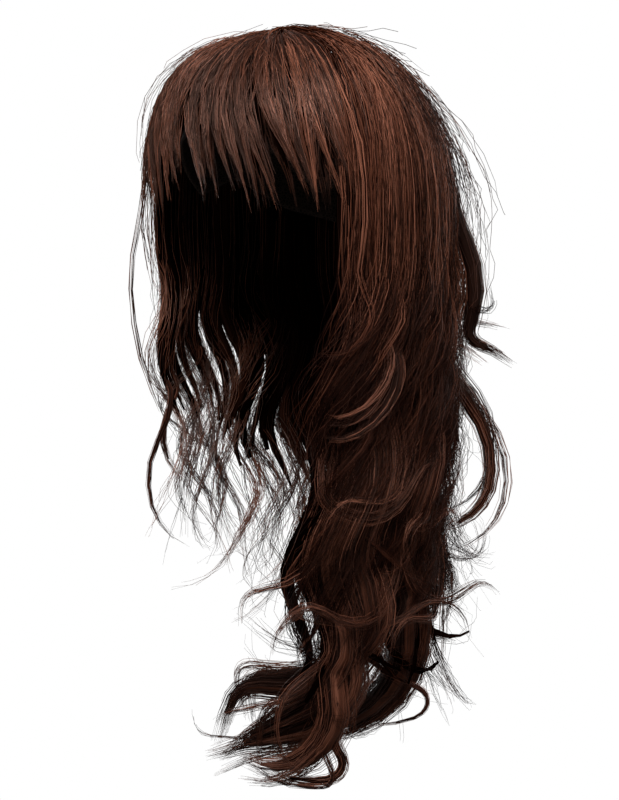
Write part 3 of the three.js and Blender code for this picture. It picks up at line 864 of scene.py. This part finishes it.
CURLS = [
    # section, azimuth, height, inset, heading, lean from straight down, size, arcs, in millimetres
    # and degrees
    (BACK, 144, -136, -4, BACKWARDS, 36, 15, (arc(80, -58), arc(11, 100), arc(60, -32))),
    (BACK, 150, -262, -9, BACKWARDS, 48, 12, (arc(82, -55), arc(42, -88), run(12))),
    (BACK, 146, -375, 6, BACKWARDS, 32, 9, (arc(55, -85),)),
    (BACK, 140, -439, 34, BACKWARDS, 60, 8, (arc(180, 15),)),
    (SIDE, 110, -480, 6, BACKWARDS, 78, 3.5, (run(14), arc(12, -148), arc(110, -14), run(20))),
    (SIDE, 83, -521, 0, BACKWARDS, 55, 8, (run(5), arc(12, -135), arc(75, -40))),
    (SIDE, 100, -425, 0, FORWARDS, 15, 16, (arc(66, 75), arc(150, 10), arc(9, -110), run(28))),
    (SIDE, 95, -428, 0, FORWARDS, 10, 17, (arc(62, 82), arc(170, 7), arc(14, -70), arc(120, -20))),
    (SIDE, 88, -453, 0, FORWARDS, 15, 17, (arc(70, 55), arc(150, -22))),
    (SIDE, 90, -475, 0, FORWARDS, 20, 17, (arc(60, 65), arc(170, -12), run(25))),
    (SIDE, 84, -491, 0, FORWARDS, 0, 19, (arc(45, 90), arc(45, 35))),
    (SIDE, 112, -452, 4, FORWARDS, 8, 16, (arc(75, 70), arc(170, 10))),
    (SIDE, 120, -440, 4, FORWARDS, 0, 16, (arc(85, 60), arc(150, 15))),
    (SIDE, 77, -437, 0, FORWARDS, 95, 5, (arc(14, -115),)),
    (SIDE, 96, -246, -13, -4, 15, 12, (arc(64, 63), arc(38, 32))),
    (FAR_SIDE, -52, -290, 0, FORWARDS, 38, 4, (arc(70, -60), arc(45, -50))),
    (FAR_SIDE, -58, -290, -8, FORWARDS, 12, 6, (arc(45, -75),)),
]
THIN_CURLS = [
    (SIDE, 72, -375, 0, FORWARDS, 60, 3, (arc(32, -60), arc(24, -85), run(30))),
    (SIDE, 72, -424, 0, FORWARDS, 95, 3, (arc(22, -90), run(15))),
    (SIDE, 90, -472, 0, FORWARDS, 15, 3, (arc(60, 75), run(45), arc(20, 120))),
    (FAR_SIDE, -40, -127, 0, FORWARDS, 18, 4, (arc(170, -18), arc(220, -22), run(30))),
]


def curl_path(azimuth, height, inset, way, lean, arcs):
    z = height * MM
    rise = z + CURL_RISE
    points = []
    clear = DOME["ring_z"] - CLEAR_OF_RING
    if rise < clear:
        top = min(DOME["ring_z"] - UNDER_RING, rise + CURL_HIDDEN)
        if top > clear:
            shares = np.linspace(CURL_ROOT_SHARE, 1, 8)
            points += [dome_point(azimuth, share, CURL_INSET) for share in shares]
        heights = np.arange(top, rise, -2 * FINE_STEP)
        points += [wave_point(azimuth, level, CURL_INSET) for level in heights]
        points.append(hang_point(azimuth, rise, RISING_INSET))
    else:
        points += [dome_point(azimuth, share, HIGH_INSET) for share in np.linspace(0.4, 0.9, 8)]
    points.append(hang_point(azimuth, z, inset * MM))
    ahead = heading(way)
    angle = math.radians(lean)
    for length, turn in arcs:
        count = max(2, round(length / FINE_STEP))
        for _ in range(count):
            middle = angle + math.radians(turn) / count / 2
            step = np.array((0, 0, -math.cos(middle))) + ahead * math.sin(middle)
            points.append(points[-1] + step * length / count)
            angle += math.radians(turn) / count
    return np.array(points)


COMPANION_SIZE = 0.6


def companions(rows, count, least_size):
    """Slimmer curls beside the large ones, each on a slightly different path."""
    more = []
    for section, azimuth, height, inset, way, lean, size, arcs in rows:
        for _ in range(count if size >= least_size else 0):
            longer = rng.uniform(0.8, 1.12)
            varied = tuple((length * longer, turn * rng.uniform(0.8, 1.15)) for length, turn in arcs)
            beside = azimuth + rng.uniform(-5, 5)
            place = (beside, height + rng.uniform(-14, 12), inset + rng.uniform(-4, 4))
            turned = (way + rng.uniform(-14, 14), lean + rng.uniform(-9, 9))
            more.append((section, *place, *turned, size * COMPANION_SIZE, varied))
    return more


def curl_locks(rows, strands_per_mm, frizz, passes):
    made = {}
    for section, azimuth, height, inset, way, lean, size, arcs in rows:
        path = curl_path(azimuth, height, inset, way, lean, arcs)
        half = size / 2 * MM * (LARGE_FULLNESS if size > LARGE_CURL else FULLNESS)
        curled = make_lock(
            path, way, half, half,
            strands=round(strands_per_mm * size * (DENSER if size > DENSE_CURL else 1)), frizz=frizz,
            passes=passes, fan_length=0.1, fan_start=0.4, tip=0.4, close_from=0.72,
            tone=rng.uniform(0.3, 0.8),
        )
        made.setdefault(section, []).append(curled)
    return made


TUMBLE_BACKWARDS = 100  # curls in front of this azimuth only tumble backwards


def tumbles(count):
    """Open curls that lie on the lower mass of the left side and tumble over each other."""
    rows = []
    for _ in range(count):
        azimuth = rng.uniform(74, 152)
        up = rng.choice([-1, 1])
        first = arc(rng.uniform(34, 60), up * rng.uniform(60, 120))
        second = arc(rng.uniform(20, 38), -up * rng.uniform(70, 150))
        lie = azimuth + (90 if azimuth < TUMBLE_BACKWARDS else rng.choice([-90, 90])) + rng.uniform(-18, 10)
        section = SIDE if azimuth < SECTIONS[SIDE][1] else BACK
        place = (azimuth, rng.uniform(-430, -300), rng.uniform(-4, 3))
        rows.append((section, *place, lie, rng.uniform(10, 50), rng.uniform(6, 10), (first, second)))
    return rows


curls = curl_locks(CURLS, 5.1, 0.0005, 5)
small_curls = companions(CURLS, 2, 8) + tumbles(14)
thin_curls = curl_locks(THIN_CURLS + small_curls, 2.8, 0.0007, 5)
counts = [sum(len(rows) for rows in kind.values()) for kind in (curls, thin_curls)]
print(counts[0], "curls and", counts[1], "thin ones")

# %% [markdown]
# ## Loose hairs
#
# A worn wig is never tidy. Single hairs cross the locks and stand off the outline, and near the
# crown a few long ones spring away in flat arcs. They are thin, wander widely and belong to no clump.

# %% Loose hairs
LOOSE_LOCKS = {"left": 94, "right": 12}  # the right is thinner
FLYAWAYS = [
    # section, how many, azimuths, root shares, heights above the dome, heights of the tips, frizz
    (BACK, 70, (112, 172), (0.05, 0.6), (0.006, 0.034), (-0.25, -0.13), 0.0050),
    (FAR_SIDE, 12, (-75, -50), (0.4, 0.8), (0.003, 0.012), (-0.26, -0.15), 0.0024),
]
FLYAWAY_STEP = 0.014  # fine enough to bend softly


def stray_locks(start, stop, count):
    locks = []
    for _ in range(count):
        azimuth = rng.uniform(start, stop)
        path = long_path(
            azimuth, inset=rng.uniform(-0.004, 0.004), root_share=rng.uniform(0.35, 0.9),
            tip_z=hang_column(azimuth, 3) + rng.uniform(0, 0.12),
            sway=rng.uniform(0.008, 0.018), wave_length=rng.uniform(0.07, 0.16),
            shift=rng.uniform(-180, 180), drift=rng.uniform(-20, 20),
        )
        way = heading(azimuth + rng.choice([-90, 90]) + rng.uniform(-30, 30))
        path = end_curl(path, 0.08, rng.uniform(40, 200), way)
        locks.append(make_lock(path, azimuth, 0.010, 0.005, 7, 0.0032, tip=1.0))
    return locks


def spring_away(azimuth, root, lift, tip_z):
    """A hair that leaves the dome in a flat arc. Some end in the air, others hang on below the ring."""
    bend = rng.uniform(0.6, 1.6)
    last = min(1.0, root + rng.uniform(0.3, 1.0))
    shares = np.linspace(root, last, 16)
    lifts = [lift * ((share - root) / (last - root)) ** bend for share in shares]
    points = [dome_point(azimuth, share, -up) for share, up in zip(shares, lifts)]
    if last == 1.0:
        heights = np.arange(DOME["ring_z"] - UNDER_RING, tip_z, -0.01)
        points += [hang_point(azimuth, z, -lift) for z in heights]
    return np.array(points)


loose = {}
for name, row in SECTIONS.items():
    loose[name] = stray_locks(row[0], row[1], LOOSE_LOCKS[name.split("_")[-1]])
flyaways = {}
for section, count, azimuths, roots, lifts, tips, frizz in FLYAWAYS:
    flyaways[section] = []
    for _ in range(count):
        azimuth = rng.uniform(*azimuths)
        path = spring_away(azimuth, rng.uniform(*roots), rng.uniform(*lifts), rng.uniform(*tips))
        made = make_lock(path, azimuth, 0.004, 0.003, 2, frizz, tip=1.0, step=FLYAWAY_STEP)
        flyaways[section].append(made)
print(sum(lock["strands"] for locks in loose.values() for lock in locks), "loose hairs")

# %% [markdown]
# ## The long sections, put together
#
# Each section gets its dense core first, which stands for the rigid section of the model. Over it go
# the locks, then the curls with cores of their own, and the loose hairs last, as a stylist would tease
# them out. Keeping them as separate pieces leaves each one light enough to edit.

# %% The long sections
CORE_ENDS = {"left": 0.93, "right": 0.74}  # the right side's tips hang free of their cores
STRAYING = {"Gather From": 0.95, "Shortest": 0.45, "Latest Root": 0.35}
for name, (locks, cores) in sections.items():
    on_left = name.endswith("left")
    until = CORE_ENDS["left" if on_left else "right"]
    core_piece(name + "_depth", cores, name, until=until)
    if name in curls:
        core_piece(name + "_curl_depth", curls[name], size=0.7, until=0.94, material=CURLED_DEPTH)
    strand_piece(name + "_strands", locks, LONG_STRAND if on_left else STRAND, Seed=11)
    for kind, rows in (("_curls", curls), ("_small_curls", thin_curls)):
        if name in rows:
            strand_piece(name + kind, rows[name], CURLED_STRAND, Seed=31, Clumps=6, Shortest=0.88)
    thin = {"Strand Radius": 0.00017, **STRAYING}
    strand_piece(name + "_loose", loose[name], LOOSE_STRAND, Seed=41, **thin)
    if name in flyaways:
        strand_piece(name + "_flyaways", flyaways[name], LOOSE_STRAND, Seed=43, **STRAYING)

# %% [markdown]
# ## Fringe
#
# The fringe is cut across the front and falls in flat pointed clumps with gaps between their tips.
# Its roots fan out from the whorl, and its tips sweep a little to the wearer's left. One layer would
# look like a comb, so a second one lies under it and fills the gaps. It is painted darker, as painted
# shade in the depth. The fringe has a random sequence of its own, so that it stays as it is when the
# locks before it are changed.

# %% Fringe
FRINGE_FROM, FRINGE_SPAN = -50, 120  # degrees
FRINGE_BEND = 4  # how late a lock turns aside
FRINGE_UNEVEN = (-0.09, 0.005)  # how much shorter a lock is cut, or longer if less than 0
FRINGE_TIPS = np.array(
    [
        # azimuth at the root, azimuth at the tip, share of the dome at the tip
        (-45, -38, 0.99),
        (-35, -28, 0.98),
        (-25, -18, 0.96),
        (-15, -8, 0.94),
        (-5, 3, 0.945),
        (5, 14, 0.935),
        (15, 26, 0.945),
        (25, 35, 0.96),
        (35, 44, 0.97),
        (45, 52, 0.98),
        (55, 61, 0.99),
        (65, 68, 1.0),
    ]
)
FRINGE_LAYERS = [
    # inset, root share, degrees between locks, half width, half thickness, strands, shortening,
    # how far the tips sweep aside in degrees, how much that varies, and whether the locks have cores
    (0.0020, 0.10, 5.2, 0.0068, 0.0032, 40, 0.0, 10.0, 4.0, False),
    (0.0060, 0.20, 4.8, 0.0072, 0.0026, 26, 0.03, 6.0, 1.5, True),
]


def fringe_path(root, inset, root_share, shorter, sweep, untidy):
    tip = np.interp(root, FRINGE_TIPS[:, 0], FRINGE_TIPS[:, 1]) + rng.normal(sweep, untidy)
    last = min(1.0, np.interp(root, FRINGE_TIPS[:, 0], FRINGE_TIPS[:, 2]) - shorter)
    degrees, phase = rng.uniform(0.5, 2.2), rng.uniform(*ANY_PHASE)
    shares = np.linspace(root_share, last, 26)
    lanes = [mix(root, tip, s**FRINGE_BEND) + wandering(s, degrees, phase) for s in shares]
    return np.array([dome_point(lane, s, inset) for lane, s in zip(lanes, shares)])


rng = np.random.default_rng(52)
fringe_locks = []
fringe_cores = []
for layer in FRINGE_LAYERS:
    inset, root_share, spacing, half_width, half_thick, strands, shorter, sweep, untidy, has_core = layer
    count = round(FRINGE_SPAN / spacing)
    for k in range(count):
        root = FRINGE_FROM + (k + 0.5 + rng.uniform(-0.25, 0.25)) * FRINGE_SPAN / count
        deeper = inset + rng.uniform(-0.0015, 0.002)
        cut = shorter + rng.uniform(*FRINGE_UNEVEN)
        path = fringe_path(root, deeper, root_share, cut, sweep, untidy)
        made = make_lock(
            path, root, half_width, half_thick, strands, frizz=rng.uniform(0.0006, 0.0012),
            fan_length=0.09, fan_start=0.25, tip=0.16, close_from=0.52,
            root_frizz=0.5, tone=rng.uniform(0.0, 1.0),
        )
        if has_core:
            fringe_cores.append(made)
        else:
            fringe_locks.append(made)
core_piece("fringe_depth", fringe_cores, "fringe", until=0.85)
strand_piece("fringe_under_strands", fringe_cores, SHADED_STRAND, Seed=53, Clumps=4, Shortest=0.7)
strand_piece("fringe_strands", fringe_locks, STRAND, Seed=51, Clumps=6, Shortest=0.66)

# %% [markdown]
# ## Crown
#
# On top the hair starts from one whorl and runs out in all directions. A short patch of strands
# covers the roots of all the other sections.

# %% Crown
CROWN_SPACING = 8  # degrees between locks
CROWN_INSET, CROWN_CORE_INSET = 0.002, 0.006
CROSSING_SPACING = 30  # degrees between the cores that cross under the whorl
CROSSING_REACH, CROSSING_SINK = 0.2, 0.035  # share of the dome to their ends, and how fast they sink
crown_locks = []
crown_cores = []
for k in range(round(360 / CROWN_SPACING)):
    azimuth = -180 + (k + rng.uniform(0.2, 0.8)) * CROWN_SPACING
    shares = np.linspace(-0.04, rng.uniform(0.4, 0.6), 17)
    degrees, phase = rng.uniform(1, 4), rng.uniform(*ANY_PHASE)
    lanes = [azimuth + wandering(share, degrees, phase) for share in shares]
    path = [dome_point(lane, share, CROWN_INSET) for lane, share in zip(lanes, shares)]
    shape = {"fan_length": 0.05, "fan_start": 0.08, "tip": 0.7, "root_frizz": 1.0}
    tone = rng.uniform(0, 0.9)
    crown_locks.append(make_lock(path, azimuth, 0.0064, 0.0026, 30, 0.0009, tone=tone, **shape))
    path = [dome_point(azimuth, share, CROWN_CORE_INSET) for share in np.linspace(0.01, 0.36, 10)]
    shape = {"fan_length": 0.045, "fan_start": 0.08, "tip": 1.0}
    crown_cores.append(make_lock(path, azimuth, 0.0062, 0.003, 1, 0, **shape))
for azimuth in range(0, 180, CROSSING_SPACING):
    shares = np.linspace(CROSSING_REACH, 0, 8)
    path = [dome_point(azimuth, share, CROSSING_SINK * share) for share in shares]
    path += [dome_point(azimuth + 180, share, CROSSING_SINK * share) for share in shares[-2::-1]]
    crown_cores.append(make_lock(path, azimuth - 180, 0.007, 0.0026, 1, 0, tip=1.0))
core_piece("crown_depth", crown_cores, "crown_hair", size=0.9, until=1.0)
strand_piece("crown_strands", crown_locks, CROWN_STRAND, Seed=61, Shortest=0.6, Clumps=3)

# %% [markdown]
# Over the crown and the fringe lie single hairs too. They leave their neighbours at a slant and
# break up the order of the locks.

# %% Loose hairs over the crown and fringe
TOP_HAIRS = 110
TOP_SLANT = 12  # degrees, either way
TOP_LIFT = 0.010  # metres at the most, and mostly much less
top_hairs = []
for number in range(TOP_HAIRS):
    over_fringe = number % 3 == 0
    azimuth = rng.uniform(-50, 70) if over_fringe else rng.uniform(-180, 180)
    slant, phase = rng.normal(3 if over_fringe else 0, TOP_SLANT), rng.uniform(*ANY_PHASE)
    first, last = rng.uniform(0.05, 0.4), rng.uniform(0.8 if over_fringe else 0.6, 0.98)
    lift = rng.uniform(0.0, TOP_LIFT) ** 2 / TOP_LIFT
    path = []
    for share in np.linspace(first, last, 18):
        passed = (share - first) / (last - first)
        lane = azimuth + slant * passed + wandering(share, 2, phase)
        path.append(dome_point(lane, share, -lift * math.sin(math.pi * passed)))
    top_hairs.append(make_lock(path, azimuth, 0.006, 0.002, 4, 0.0022, tip=1.0, root_frizz=0.7))
thin = {"Strand Radius": 0.00018, "Gather From": 0.95, "Shortest": 0.5, "Latest Root": 0.3}
strand_piece("crown_loose", top_hairs, STRAND, Seed=81, **thin)

# %% [markdown]
# ## Nape
#
# Inside the back hair, short locks hang from the cap's lower edge and close the view from the front.

# %% Nape
NAPE_FROM, NAPE_TO, NAPE_COUNT = 112, 248, 15  # azimuths, and locks between them
NAPE_MIDDLE = (130, 230)
NAPE_TOP, NAPE_TIP, NAPE_SIDE_SHORTER = -0.118, -0.395, 0.1
NAPE_INSET, NAPE_SIDE_INSET = 0.022, 0.019
NAPE_SWAY = 0.008
nape_locks = []
for k in range(NAPE_COUNT):
    azimuth = NAPE_FROM + (k + 0.5) * (NAPE_TO - NAPE_FROM) / NAPE_COUNT
    in_middle = NAPE_MIDDLE[0] < azimuth < NAPE_MIDDLE[1]
    inset = NAPE_INSET if in_middle else NAPE_SIDE_INSET
    tip_z = NAPE_TIP + rng.uniform(0, 0.05) + (0.0 if in_middle else NAPE_SIDE_SHORTER)
    heights = np.arange(NAPE_TOP, tip_z, -FINE_STEP)
    path = [wave_point(azimuth, z, inset, NAPE_SWAY) for z in heights]
    tone = rng.uniform(0.1, 0.6)
    nape_locks.append(make_lock(path, azimuth, 0.0105, 0.0038, 28, 0.0012, tip=0.5, tone=tone))
core_piece("nape_depth", nape_locks, "nape_hair")
strand_piece("nape_strands", nape_locks, LONG_STRAND, Seed=71)

# %% [markdown]
# ## Cap
#
# The cap is a thin elastic net with a turned edge, higher in front and cut out round the ears.
# It is modelled as one closed wall: an outer skin, an inner skin and a rim between them. Its threads are
# finer than a mesh can carry, so a pattern of cells in the material draws them.

# %% Cap
CAP = {"half_width": 0.078, "half_depth": 0.098, "dome": 0.098, "wall": 0.0018, "nape_taper": 0.12}
# Azimuth on either side, and height of the edge in millimetres
CAP_EDGE = np.array([(0, -62), (40, -76), (68, -112), (92, -98), (118, -122), (180, -146)], dtype=float)
CAP_COLUMNS = 96
CAP_ROWS = 28


def cap_point(azimuth, share, lift):
    angle = math.radians(azimuth)
    up = min(1.0, share) * math.pi / 2
    below = max(0.0, share - 1) * CAP["dome"]
    narrow = 1 - below * CAP["nape_taper"] / CAP["half_depth"]
    across = (CAP["half_width"] + lift) * math.sin(angle) * math.sin(up) * narrow
    along = -(CAP["half_depth"] + lift) * math.cos(angle) * math.sin(up) * narrow
    return (across, along, -CAP["dome"] + (CAP["dome"] + lift) * math.cos(up) - below)


def cap_share_at(z):
    drop = -z / CAP["dome"]
    return drop if drop >= 1 else math.acos(1 - drop) / (math.pi / 2)


def cap_mesh():
    points = []
    for lift in (CAP["wall"], 0.0):
        points.append(cap_point(0, 0, lift))
        for row in range(1, CAP_ROWS + 1):
            for column in range(CAP_COLUMNS):
                azimuth = column * 360 / CAP_COLUMNS - 180
                edge = np.interp(abs(azimuth), CAP_EDGE[:, 0], CAP_EDGE[:, 1]) * MM
                points.append(cap_point(azimuth, cap_share_at(edge) * row / CAP_ROWS, lift))
    skin = 1 + CAP_ROWS * CAP_COLUMNS
    faces = []
    for column in range(CAP_COLUMNS):
        after = (column + 1) % CAP_COLUMNS
        faces.append((0, 1 + column, 1 + after))
        faces.append((skin, skin + 1 + after, skin + 1 + column))
        for row in range(CAP_ROWS - 1):
            a = 1 + row * CAP_COLUMNS
            b = a + CAP_COLUMNS
            faces.append((a + column, b + column, b + after, a + after))
            faces.append((skin + a + after, skin + b + after, skin + b + column, skin + a + column))
        rim = 1 + (CAP_ROWS - 1) * CAP_COLUMNS
        faces.append((rim + column, skin + rim + column, skin + rim + after, rim + after))
    mesh = bpy.data.meshes.new("cap_net")
    mesh.from_pydata(points, [], faces)
    mesh.shade_smooth()
    return mesh


NET_CELLS = 420  # in a metre
NET_SHADES = [(0.05, (0.035, 0.022, 0.017)), (0.22, (0.008, 0.005, 0.004))]  # threads, and holes


def net():
    material, shader = surface("elastic net", {"Roughness": 0.85, "Specular IOR Level": 0.1})
    tree = material.node_tree
    where = new_node(tree, "ShaderNodeTexCoord").outputs["Object"]
    pattern = {"Vector": where, "Scale": NET_CELLS}
    cells = new_node(tree, "ShaderNodeTexVoronoi", pattern, feature="DISTANCE_TO_EDGE")
    edge = cells.outputs["Distance"]
    colour = ramped(tree, edge, NET_SHADES)
    relief = {"Strength": 0.5, "Distance": 0.0005, "Height": edge}
    bump = new_node(tree, "ShaderNodeBump", relief, invert=True)
    tree.links.new(colour, shader.inputs["Base Color"])
    tree.links.new(bump.outputs["Normal"], shader.inputs["Normal"])
    return material


cap = add_piece("cap_net", cap_mesh(), "cap_net", "cap")
cap.data.materials.append(net())
print("Cap wall", CAP["wall"], "m thick")

# %% [markdown]
# ## Size
#
# The dressed wig may stand out a little from the rigid model, but not much. Both boxes are written
# down, so that they can be compared.

# %% Measure and finish
scene_box = [[float(value) for value in corner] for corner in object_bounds()]
for axis, name in enumerate("XYZ"):
    low, high = [round(dressed[axis] - bare[axis], 4) for bare, dressed in zip(cad_box, scene_box)]
    print("Along", name, "the low end moved", low, "m and the high end", high, "m")
print(sum(total_triangles.values()), "triangles in all")
